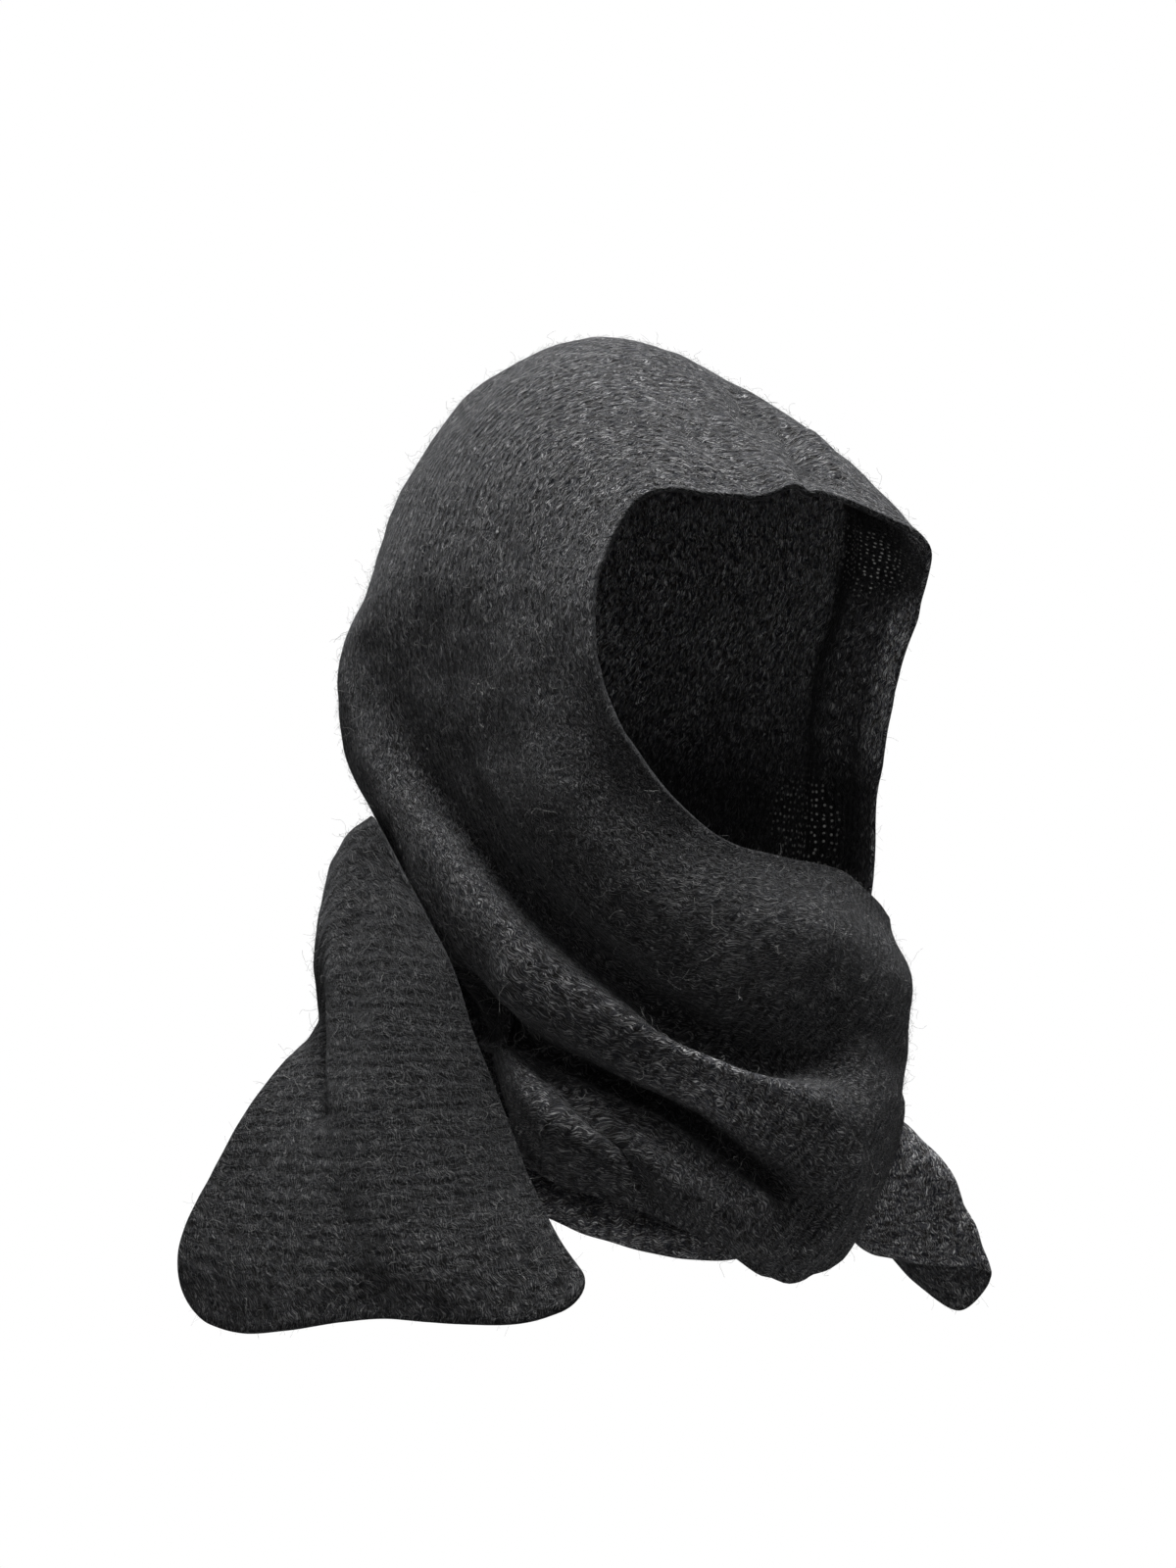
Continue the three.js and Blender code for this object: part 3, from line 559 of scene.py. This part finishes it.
def new_mesh(name, positions, polygons, planes):
    mesh = bpy.data.meshes.new(name)
    mesh.vertices.add(len(positions))
    mesh.vertices.foreach_set("co", positions.astype(np.float32).ravel())
    mesh.loops.add(polygons.size)
    mesh.loops.foreach_set("vertex_index", polygons.astype(np.int32).ravel())
    mesh.polygons.add(len(polygons))
    mesh.polygons.foreach_set("loop_start", np.arange(0, polygons.size, 4, dtype=np.int32))
    mesh.update(calc_edges=True)
    cloth_plane = mesh.uv_layers.new(name="cloth_plane")
    cloth_plane.data.foreach_set("uv", planes.astype(np.float32).ravel())
    mesh.polygons.foreach_set("use_smooth", np.ones(len(polygons), bool))
    mesh.validate()
    return new_object(name, mesh)


def strip_sheet():
    """The hood, front wrap and right tail as one layer, with the back seam's two halves joined."""
    first_at, last_at = min(STRIP_SECTIONS), max(STRIP_SECTIONS)
    per_section = STRIP_GRID["per_section"]
    ats = np.linspace(first_at, last_at, (last_at - first_at) * per_section + 1)
    surface = Surface(list(STRIP_SECTIONS.values()))
    shares = np.linspace(0, 1, STRIP_GRID["across"] + 1)
    grid = round_corners(surface.grid(ats - first_at, shares), surface, ats - first_at, shares)
    top = -first_at * per_section
    sewn = SEAM_SECTIONS * per_section

    def join_back_seam(corner_of):
        for step in range(1, sewn + 1):
            corner_of[top - step, -1] = corner_of[top + step, -1]
        return corner_of

    sheet = Sheet(grid, ats, one_corner=join_back_seam)
    heights = fold_heights(sheet, surface, first_at, STRIP_FOLDS + FINE_FOLDS)
    for ripples in STRIP_RIPPLES:
        heights += ripple_heights(sheet.corners, **ripples)
    sheet.move_out(heights)
    return sheet


def left_tail_sheet():
    surface = Surface(list(LEFT_TAIL_SECTIONS.values()))
    spans = len(LEFT_TAIL_SECTIONS) - 1
    stations = np.linspace(0, spans, spans * LEFT_TAIL_GRID["per_section"] + 1)
    shares = np.linspace(0, 1, LEFT_TAIL_GRID["across"] + 1)
    sheet = Sheet(round_corners(surface.grid(stations, shares), surface, stations, shares), stations)
    sheet.move_out(ripple_heights(sheet.corners, **SMALL_RIPPLES, seed=5))
    return sheet


def under_wrap_sheet():
    surface = Surface(under_wrap_points(), closed=True)
    spans = len(UNDER_WRAP_SECTIONS)
    stations = np.arange(spans * UNDER_WRAP_GRID["per_section"]) / UNDER_WRAP_GRID["per_section"]
    grid = surface.grid(stations, np.linspace(0, 1, UNDER_WRAP_GRID["across"] + 1))
    sheet = Sheet(grid, stations, closed=True)
    sheet.move_out(ripple_heights(sheet.corners, **SMALL_RIPPLES, seed=6))
    return sheet


def part_of(sheet, first_at, last_at):
    """The faces of a sheet between two places along it, as a sheet of its own."""
    middle = sheet.at[sheet.faces].mean(axis=1)
    chosen = (middle > first_at) & (middle < last_at)
    kept, places = np.unique(sheet.faces[chosen], return_inverse=True)
    part = object.__new__(Sheet)
    part.corners = sheet.corners[kept]
    part.at = sheet.at[kept]
    part.share = sheet.share[kept]
    part.faces = places.reshape(-1, 4)
    part.plane = sheet.plane[chosen]
    return part


# Node trees

def add_sockets(tree, *rows, out=False):
    """Gives a node group its inputs or outputs: each row is a name and a kind."""
    side = "OUTPUT" if out else "INPUT"
    for name, kind in rows:
        tree.interface.new_socket(name, in_out=side, socket_type="NodeSocket" + kind)


class Nodes:
    """Short calls for building one node tree."""

    def __init__(self, tree):
        self.tree = tree

    def fill(self, socket, value):
        if isinstance(value, bpy.types.NodeSocket):
            self.tree.links.new(value, socket)
        else:
            socket.default_value = value

    def add(self, kind, inputs=(), **settings):
        made = self.tree.nodes.new(kind)
        for key, value in settings.items():
            setattr(made, key, value)
        for key, value in dict(inputs).items():
            self.fill(made.inputs[key], value)
        return made.outputs

    def number(self, operation, *values, clamp=False):
        inputs = dict(enumerate(values))
        return self.add("ShaderNodeMath", inputs, operation=operation, use_clamp=clamp)[0]

    def weighed(self, value, weight, rest=0.0):
        return self.number("MULTIPLY_ADD", value, weight, rest)

    def vector(self, operation, *values, scale=None):
        inputs = dict(enumerate(values))
        if scale is not None:
            inputs["Scale"] = scale
        return self.add("ShaderNodeVectorMath", inputs, operation=operation)

    def noise(self, place, size, detail=0.0, roughness=0.5, kind="3D"):
        inputs = {"Vector": place, "Scale": 1 / size, "Detail": detail, "Roughness": roughness}
        return self.add("ShaderNodeTexNoise", inputs, noise_dimensions=kind)

    def between(self, value, low, high):
        inputs = {0: value, 1: low, 2: high, 3: 0.0, 4: 1.0}
        return self.add("ShaderNodeMapRange", inputs, interpolation_type="SMOOTHSTEP")[0]

    def mix(self, share, first, second):
        made = self.tree.nodes.new("ShaderNodeMix")
        made.data_type = "RGBA"
        self.fill(made.inputs[0], share)
        for place, value in ((6, first), (7, second)):
            self.fill(made.inputs[place], (*value, 1.0) if isinstance(value, tuple) else value)
        return made.outputs[2]


def emptied(owner):
    """Clears the nodes of a material or world, ready to be filled."""
    owner.use_nodes = True
    owner.node_tree.nodes.clear()
    return Nodes(owner.node_tree)


# Stray fibres

def fibre_tree(name):
    """Scatters thin, bent, tapering fibres over the faces that it is given."""
    tree = bpy.data.node_groups.new(name, "GeometryNodeTree")
    add_sockets(tree, ("Cloth", "Geometry"), ("Fibres per m2", "Float"), ("Length", "Float"),
                ("Thickness", "Float"), ("Lift", "Float"), ("Curl", "Float"), ("Curl size", "Float"),
                ("Points", "Int"), ("Seed", "Int"), ("Finish", "Material"))
    add_sockets(tree, ("Fibres", "Geometry"), out=True)
    make = Nodes(tree)
    given = make.add("NodeGroupInput")

    def drawn(order, inputs, kind):
        """A random value of its own, by its order among the draws."""
        seed = make.number("ADD", given["Seed"], float(order))
        return make.add("FunctionNodeRandomValue", {**inputs, "Seed": seed}, data_type=kind)

    roots = make.add("GeometryNodeDistributePointsOnFaces",
                     {"Mesh": given["Cloth"], "Density": given["Fibres per m2"], "Seed": given["Seed"]})
    any_way = drawn(1, {0: (-1, -1, -1), 1: (1, 1, 1)}, "FLOAT_VECTOR")[0]
    out_part = make.vector("DOT_PRODUCT", any_way, roots["Normal"])["Value"]
    outwards = make.vector("SCALE", roots["Normal"], scale=out_part)[0]
    along_cloth = make.vector("NORMALIZE", make.vector("SUBTRACT", any_way, outwards)[0])[0]
    some_lift = drawn(2, {2: FIBRE_LIFTS[0], 3: FIBRE_LIFTS[1]}, "FLOAT")[1]
    lift = make.number("MULTIPLY", some_lift, given["Lift"])
    raised = make.vector("SCALE", roots["Normal"], scale=lift)[0]
    heading = make.vector("ADD", along_cloth, raised)[0]
    turned = make.add("FunctionNodeAlignRotationToVector", {"Vector": heading}, axis="Z")[0]
    size = drawn(3, {2: FIBRE_LENGTHS[0], 3: FIBRE_LENGTHS[1]}, "FLOAT")[1]
    straight = make.add("GeometryNodeCurvePrimitiveLine", {"Start": (0, 0, 0), "End": (0, 0, 1)})[0]
    jointed = make.add("GeometryNodeResampleCurve", {"Curve": straight, "Count": given["Points"]})[0]
    placed = make.add("GeometryNodeInstanceOnPoints",
                      {"Points": roots["Points"], "Instance": jointed, "Rotation": turned,
                       "Scale": make.number("MULTIPLY", size, given["Length"])})[0]
    strands = make.add("GeometryNodeRealizeInstances", {"Geometry": placed})[0]
    way_along = make.add("GeometryNodeSplineParameter")["Factor"]
    noise = make.add("ShaderNodeTexNoise",
                     {"Vector": make.add("GeometryNodeInputPosition")[0],
                      "Scale": make.number("DIVIDE", 1.0, given["Curl size"]), "Detail": 0.0},
                     noise_dimensions="3D")["Color"]
    swing = make.vector("SUBTRACT", noise, (0.5, 0.5, 0.5))[0]
    bend = make.vector("SCALE", swing, scale=make.number("MULTIPLY", way_along, given["Curl"]))[0]
    bent = make.add("GeometryNodeSetPosition", {"Geometry": strands, "Offset": bend})[0]
    tip = make.number("SUBTRACT", 1.0, make.number("MULTIPLY", way_along, FIBRE_TAPER))
    tapered = make.add("GeometryNodeSetCurveRadius", {"Curve": bent, "Radius": tip})[0]
    section = make.add("GeometryNodeCurvePrimitiveCircle", {"Resolution": 3, "Radius": 1.0})[0]
    radius = make.number("MULTIPLY", given["Thickness"], 0.5)
    sizes = make.add("ShaderNodeCombineXYZ", {"X": radius, "Y": radius, "Z": radius})[0]
    thin = make.add("GeometryNodeTransform", {"Geometry": section, "Scale": sizes})[0]
    tubes = make.add("GeometryNodeCurveToMesh",
                     {"Curve": tapered, "Profile Curve": thin, "Fill Caps": True})[0]
    loose = make.add("GeometryNodeRealizeInstances", {"Geometry": tubes})[0]
    finished = make.add("GeometryNodeSetMaterial", {"Geometry": loose, "Material": given["Finish"]})[0]
    make.add("NodeGroupOutput", {"Fibres": finished})
    return tree


def grow_fibres(name, sheet, tree, finish, **values):
    """Fibres on the right side of a sheet, as a plain mesh of their own."""
    mesh = bpy.data.meshes.new(name)
    right_side = (sheet.corners + sheet.normals() * (CLOTH_WALL / 2 - FIBRE_ROOT_DEPTH)) * MM
    mesh.from_pydata(right_side.tolist(), [], sheet.faces.tolist())
    grower = new_object(name, mesh)
    modifier = grower.modifiers.new("fibres", "NODES")
    modifier.node_group = tree
    sockets = {item.name: item.identifier for item in tree.interface.items_tree}
    modifier[sockets["Finish"]] = finish
    for key, value in values.items():
        modifier[sockets[FIBRE_INPUTS[key]]] = value
    shown = grower.evaluated_get(bpy.context.evaluated_depsgraph_get())
    fibres = bpy.data.meshes.new_from_object(shown)
    grower.modifiers.clear()
    grower.data = fibres
    fibres.name = name
    return grower


# Finishes

def brushed_wool_group():
    """Colour and height of a brushed heather knit, from its own plane and its place."""
    tree = bpy.data.node_groups.new("brushed_wool", "ShaderNodeTree")
    add_sockets(tree, ("Plane", "Vector"), ("Place", "Vector"), ("Rib width", "Float"),
                ("Rib depth", "Float"), ("Rib turn", "Float"), ("Shade", "Float"), ("Thin", "Float"))
    add_sockets(tree, ("Colour", "Color"), ("Height", "Float"), out=True)
    make = Nodes(tree)
    given = make.add("NodeGroupInput")
    wander = make.noise(given["Plane"], WANDER_SIZE, kind="2D")["Color"]
    swing = make.vector("SUBTRACT", wander, (0.5, 0.5, 0.5))[0]
    swing = make.vector("SCALE", swing, scale=WANDER)[0]
    plane = make.vector("ADD", given["Plane"], swing)[0]
    streaks = None
    for angle, low, high in HAIR_LAYERS:
        laid = make.add("ShaderNodeMapping", {
            "Vector": plane, "Rotation": (0, 0, math.radians(angle)),
            "Location": (angle * 0.01, angle * 0.02, 0), "Scale": (1 / HAIR_WIDTH, 1 / HAIR_LENGTH, 1),
        })[0]
        hairs = make.add("ShaderNodeTexNoise", {"Vector": laid, "Scale": 1.0, "Detail": 1.0},
                         noise_dimensions="2D")[0]
        hairs = make.between(hairs, low, high)
        streaks = hairs if streaks is None else make.number("MAXIMUM", streaks, hairs)
    clumps = []
    for stretch in CLUMP_STRETCHES:
        drawn = make.vector("MULTIPLY", plane, stretch)[0]
        noise = make.noise(drawn, CLUMP_SIZE, detail=3.0, roughness=0.6, kind="2D")[0]
        clumps.append(make.between(noise, *CLUMP_SPAN))
    mottle = make.add("ShaderNodeMix", {0: given["Rib turn"], 2: clumps[0], 3: clumps[1]})[0]
    specks = make.noise(given["Place"], SPECK_SIZE, detail=1.0, roughness=0.6)[0]
    specks = make.between(specks, *SPECK_SPAN)
    patches = make.between(make.noise(given["Place"], PATCH_SIZE, detail=2.0)[0], *PATCH_SPAN)
    tint = make.between(make.noise(given["Place"], TINT_SIZE, detail=1.0)[0], *TINT_SPAN)
    parts = make.add("ShaderNodeSeparateXYZ", {0: given["Plane"]})
    turns = []
    for axis in ("X", "Y"):
        cycles = make.number("DIVIDE", parts[axis], given["Rib width"])
        turns.append(make.number("COSINE", make.number("MULTIPLY", cycles, 2 * math.pi)))
    unturned = make.number("SUBTRACT", 1.0, given["Rib turn"])
    wales = make.number("MULTIPLY", turns[0], unturned)
    ribs = make.number("ADD", wales, make.number("MULTIPLY", turns[1], given["Rib turn"]))
    ribs = make.number("MULTIPLY", make.weighed(ribs, 0.5, 0.5), given["Rib depth"])
    tone = make.weighed(mottle, TONE["clumps"], make.weighed(patches, TONE["patches"], TONE["rest"]))
    tone = make.weighed(specks, TONE["specks"], tone)
    tone = make.number("ADD", tone, make.number("MULTIPLY", ribs, TONE["ribs"]), clamp=True)
    ground = make.mix(tone, SHADE_WOOL, BODY_WOOL)
    ground = make.mix(TINT_SHARE, ground, make.mix(tint, BLUE_WOOL, BROWN_WOOL))
    showing = make.number("MULTIPLY", streaks, make.weighed(mottle, *HAIRS_ON_CLUMPS))
    showing = make.number("MULTIPLY", showing, make.weighed(patches, *HAIRS_ON_PATCHES), clamp=True)
    colour = make.mix(showing, ground, PALE_WOOL)
    # The Shade input scales the colour: painted light and shade
    colour = make.vector("SCALE", colour, scale=given["Shade"])[0]
    # Pale dots on the thin places: painted light showing through pinholes in the knit
    stitches = make.add("ShaderNodeTexVoronoi", {
        "Vector": given["Plane"], "Scale": 1 / PINHOLE_SPACING, "Randomness": 0.5,
    }, voronoi_dimensions="2D")["Distance"]
    painted_pinhole_light = make.number("MULTIPLY", make.between(stitches, *PINHOLE_SPAN), given["Thin"])
    painted_pinhole_light = make.number("MULTIPLY", painted_pinhole_light, make.between(tint, 0.0, 0.5))
    colour = make.mix(painted_pinhole_light, colour, PINHOLE_LIGHT)
    height = make.number("ADD", make.number("MULTIPLY", mottle, RELIEF["clumps"]),
                         make.number("MULTIPLY", ribs, RELIEF["ribs"]))
    height = make.number("ADD", make.number("MULTIPLY", streaks, RELIEF["streaks"]), height)
    make.add("NodeGroupOutput", {"Colour": colour, "Height": height})
    return tree


def knit_finish(name, group, rib_width, rib_depth, rib_turn=None):
    finish = bpy.data.materials.new(name)
    make = emptied(finish)
    place = make.add("ShaderNodeTexCoord")["Object"]
    plane = make.add("ShaderNodeUVMap", uv_map="cloth_plane")[0]
    # The shade mark carries painted light and shade; the thin mark places the painted pinhole light
    marks = {mark: make.add("ShaderNodeAttribute", attribute_name=mark)["Fac"]
             for mark in ("shade", "thin", "rib_turn")}
    wool = make.add("ShaderNodeGroup", {
        "Place": place, "Plane": plane, "Rib width": rib_width, "Rib depth": rib_depth,
        "Rib turn": marks["rib_turn"] if rib_turn is None else rib_turn,
        "Shade": marks["shade"], "Thin": marks["thin"],
    }, node_tree=group)
    relief = {"Height": wool["Height"], "Distance": NAP_RELIEF, "Strength": 1.0}
    bump = make.add("ShaderNodeBump", relief)
    shader = make.add("ShaderNodeBsdfPrincipled",
                      {"Base Color": wool["Colour"], "Normal": bump[0], **WOOL_SURFACE})
    make.add("ShaderNodeOutputMaterial", {"Surface": shader[0]})
    return finish


def fibre_finish(name, dark, light):
    finish = bpy.data.materials.new(name)
    make = emptied(finish)
    place = make.add("ShaderNodeTexCoord")["Object"]
    shade = make.between(make.noise(place, FIBRE_TONE_SIZE)[0], *FIBRE_TONE_SPAN)
    colour = make.mix(shade, dark, light)
    shader = make.add("ShaderNodeBsdfPrincipled", {"Base Color": colour, **FIBRE_SURFACE})
    make.add("ShaderNodeOutputMaterial", {"Surface": shader[0]})
    return finish


# Stage

def pale_floor_finish():
    """A plain floor that looks white and gives little light back."""
    finish = bpy.data.materials.new("pale_floor")
    make = emptied(finish)
    matt = make.add("ShaderNodeBsdfDiffuse", {"Color": (*FLOOR_COLOUR, 1.0)})[0]
    white = make.add("ShaderNodeEmission", {"Color": (*SEEN_WHITE, 1.0)})[0]
    seen = make.add("ShaderNodeLightPath")["Is Camera Ray"]
    shown = make.add("ShaderNodeMixShader", {0: seen, 1: matt, 2: white})[0]
    make.add("ShaderNodeOutputMaterial", {"Surface": shown})
    return finish


def pale_room():
    """White to the eye, and softer light from below than from above."""
    world = bpy.data.worlds.new("pale_room")
    make = emptied(world)
    facing = make.add("ShaderNodeSeparateXYZ", {0: make.add("ShaderNodeTexCoord")["Generated"]})["Z"]
    height = {0: facing, 1: -0.5, 2: 0.7, 3: ROOM_LIGHT_BELOW, 4: ROOM_LIGHT_ABOVE}
    lit = make.add("ShaderNodeBackground", {"Strength": make.add("ShaderNodeMapRange", height)[0]})[0]
    white = make.add("ShaderNodeBackground", {"Color": (*SEEN_WHITE, 1.0)})[0]
    seen = make.add("ShaderNodeLightPath")["Is Camera Ray"]
    shown = make.add("ShaderNodeMixShader", {0: seen, 1: lit, 2: white})[0]
    make.add("ShaderNodeOutputWorld", {0: shown})
    return world


def aim(name, data, target, azimuth, elevation, distance):
    """Places a camera or lamp at an angle and a distance from what it looks at."""
    turn, rise = math.radians(azimuth), math.radians(elevation)
    level = math.cos(rise)
    back = Vector((math.sin(turn) * level, -math.cos(turn) * level, math.sin(rise)))
    made = new_object(name, data)
    made.location = Vector(target) + back * distance
    made.rotation_euler = (-back).to_track_quat("-Z", "Y").to_euler()
    return made


def set_camera():
    data = bpy.data.cameras.new("camera")
    data.lens = CAMERA_LENS_MM
    angles = (CAMERA_AZIMUTH, CAMERA_ELEVATION)
    bpy.context.scene.camera = aim("camera", data, CAMERA_TARGET, *angles, CAMERA_DISTANCE)


def soft_light(name, azimuth, elevation, distance, size, power):
    data = bpy.data.lights.new(name, "AREA")
    data.shape = "DISK"
    data.size = size
    data.energy = power
    aim(name, data, LIGHT_TARGET, azimuth, elevation, distance)


def set_stage():
    mesh = bpy.data.meshes.new("floor")
    corners = [(x * FLOOR_REACH, y * FLOOR_REACH, FLOOR_HEIGHT)
               for x, y in ((-1, -1), (1, -1), (1, 1), (-1, 1))]
    mesh.from_pydata(corners, [], [(0, 1, 2, 3)])
    mesh.materials.append(pale_floor_finish())
    floor = new_object("floor", mesh)
    bpy.context.scene.world = pale_room()
    for name, values in LIGHTS.items():
        soft_light(name, **values)
    bpy.context.scene.view_settings.view_transform = "Standard"


# The pieces

def dress(piece, finish, slot, *nodes):
    piece.data.materials.append(finish)
    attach(piece, "root")
    if nodes:
        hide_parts(*nodes)


def pinhole_light_places(sheet):
    """How far each corner lies inside the places where the hood's inside shows painted pinhole light.
    """
    marks = np.zeros(len(sheet.corners))
    for at, reach, share, spread in PINHOLE_LIGHT_PLACES:
        away = np.hypot((sheet.at - at) / reach, (sheet.share - share) / spread)
        marks = np.maximum(marks, (2.0 - 1.3 * away).clip(0, 1))
    return marks


def painted_place_shades(sheet):
    """Painted shade and light at each corner of the hood's outside, from the darker and lighter places.
    """
    shades = np.ones(len(sheet.corners))
    for _, at, reach, share, spread, shade in PAINTED_SHADE_PLACES:
        away = np.hypot((sheet.at - at) / reach, (sheet.share - share) / spread)
        shades *= 1 + (shade - 1) * np.exp(-away ** 2)
    return shades


def mark_cloth(piece, sheet, name):
    """Values at the vertices: how the ribs turn, the painted light and shade, and painted pinhole
    light.
    """
    count = len(sheet.corners)
    turned = np.interp(sheet.at, *zip(*RIB_TURNS))
    # Painted light and shade on the outside, inside and rims, set by how light falls on each part
    outside = np.full(count, PAINTED_PIECE_SHADES[name])
    inside = np.full(count, PAINTED_INSIDE_SHADES.get(name, 1.0))
    thin = np.zeros(count)
    if name == "hood":
        wrapped = np.interp(sheet.at, *zip(*WRAP_SHADES)) * np.interp(sheet.share, WRAP_ENDS, (1, 0))
        outside = outside * (1 - wrapped) * painted_place_shades(sheet)
        brow = np.interp(sheet.at, *zip(*BROW_SHADES))
        brow = brow * np.interp(sheet.share, *zip(*BROW_FADES))
        back = np.interp(sheet.at, *zip(*BACK_SHADES))
        inside = brow + (back - brow) * np.interp(sheet.share, BROW_ENDS, (0, 1))
        edge = np.interp(sheet.at, *zip(*BROW_EDGE["along"]))
        inside = inside * (1 + (edge - 1) * np.interp(sheet.share, BROW_EDGE["reach"], (1, 0)))
        thin = pinhole_light_places(sheet)
    if name == "right_tail":
        outside = outside * np.interp(sheet.at, *zip(*PAINTED_TAIL_SHADES))
        outside = outside * np.interp(sheet.share, *zip(*PAINTED_TAIL_EDGE_SHADES))
    rest = len(piece.data.vertices) - 2 * count
    # The rims are darker, partly the cloth's dark edge line and partly painted shade; the hood's
    # left-side rims carry painted light
    rims = np.full(rest, RIM_SHADE)
    if name == "hood":
        outline = sorted({corner for corner, _ in sheet.free_edges()})
        rims = np.tile(np.interp(sheet.at[outline], *zip(*HOOD_RIM_SHADES)), len(RIM_TURNS))
    values = {
        "rib_turn": np.concatenate([turned, turned, np.zeros(rest)]),
        "shade": np.concatenate([outside, inside, rims]),
        "thin": np.concatenate([np.zeros(count), thin, np.zeros(rest)]),
    }
    for key, numbers in values.items():
        layer = piece.data.attributes.new(key, "FLOAT", "POINT")
        layer.data.foreach_set("value", numbers.astype(np.float32))


def build_scarf():
    wool = brushed_wool_group()
    face_knit = knit_finish("brushed_knit_face", wool, **FACE_RIBS)
    reverse_knit = knit_finish("brushed_knit_reverse", wool, **REVERSE_RIBS)
    fibre = fibre_finish("wool_fibre", DARK_FIBRE, LIGHT_FIBRE)
    hair = fibre_finish("loose_hair", LIGHT_FIBRE, PALE_HAIR)
    fibres = fibre_tree("stray_fibres")
    strip = strip_sheet()
    first_at, last_at = min(STRIP_SECTIONS), max(STRIP_SECTIONS)
    hood = part_of(strip, first_at, WRAP_ENDS_AT)
    right_tail = part_of(strip, WRAP_ENDS_AT, last_at)
    cloths = {
        "hood": (hood, face_knit, "knit_face"),
        "under_wrap": (under_wrap_sheet(), face_knit, "knit_face"),
        "right_tail": (right_tail, reverse_knit, "knit_reverse"),
        "left_tail": (left_tail_sheet(), reverse_knit, "knit_reverse"),
    }
    fibre_places = {
        "hood": {"hood_left_fibres": part_of(hood, first_at, 0),
                 "hood_right_fibres": part_of(hood, 0, WRAP_STARTS_AT),
                 "front_wrap_fibres": part_of(hood, WRAP_STARTS_AT, WRAP_ENDS_AT)},
        "under_wrap": {"under_wrap_fibres": cloths["under_wrap"][0]},
        "right_tail": {"right_tail_fibres": right_tail},
        "left_tail": {"left_tail_fibres": cloths["left_tail"][0]},
    }
    for name, (sheet, finish, slot) in cloths.items():
        piece = cloth_mesh(name + "_cloth", sheet)
        mark_cloth(piece, sheet, name)
        dress(piece, finish, slot, name)
        for seed, (nap_name, place) in enumerate(fibre_places[name].items()):
            nap = grow_fibres(nap_name, place, fibres, fibre, **NAP, seed=seed + 11 * len(name))
            dress(nap, fibre, slot)
        hairs = grow_fibres(name + "_loose_hairs", sheet, fibres, hair, **LOOSE_HAIRS, seed=len(name))
        dress(hairs, hair, slot)


set_camera()
set_stage()
build_scarf()
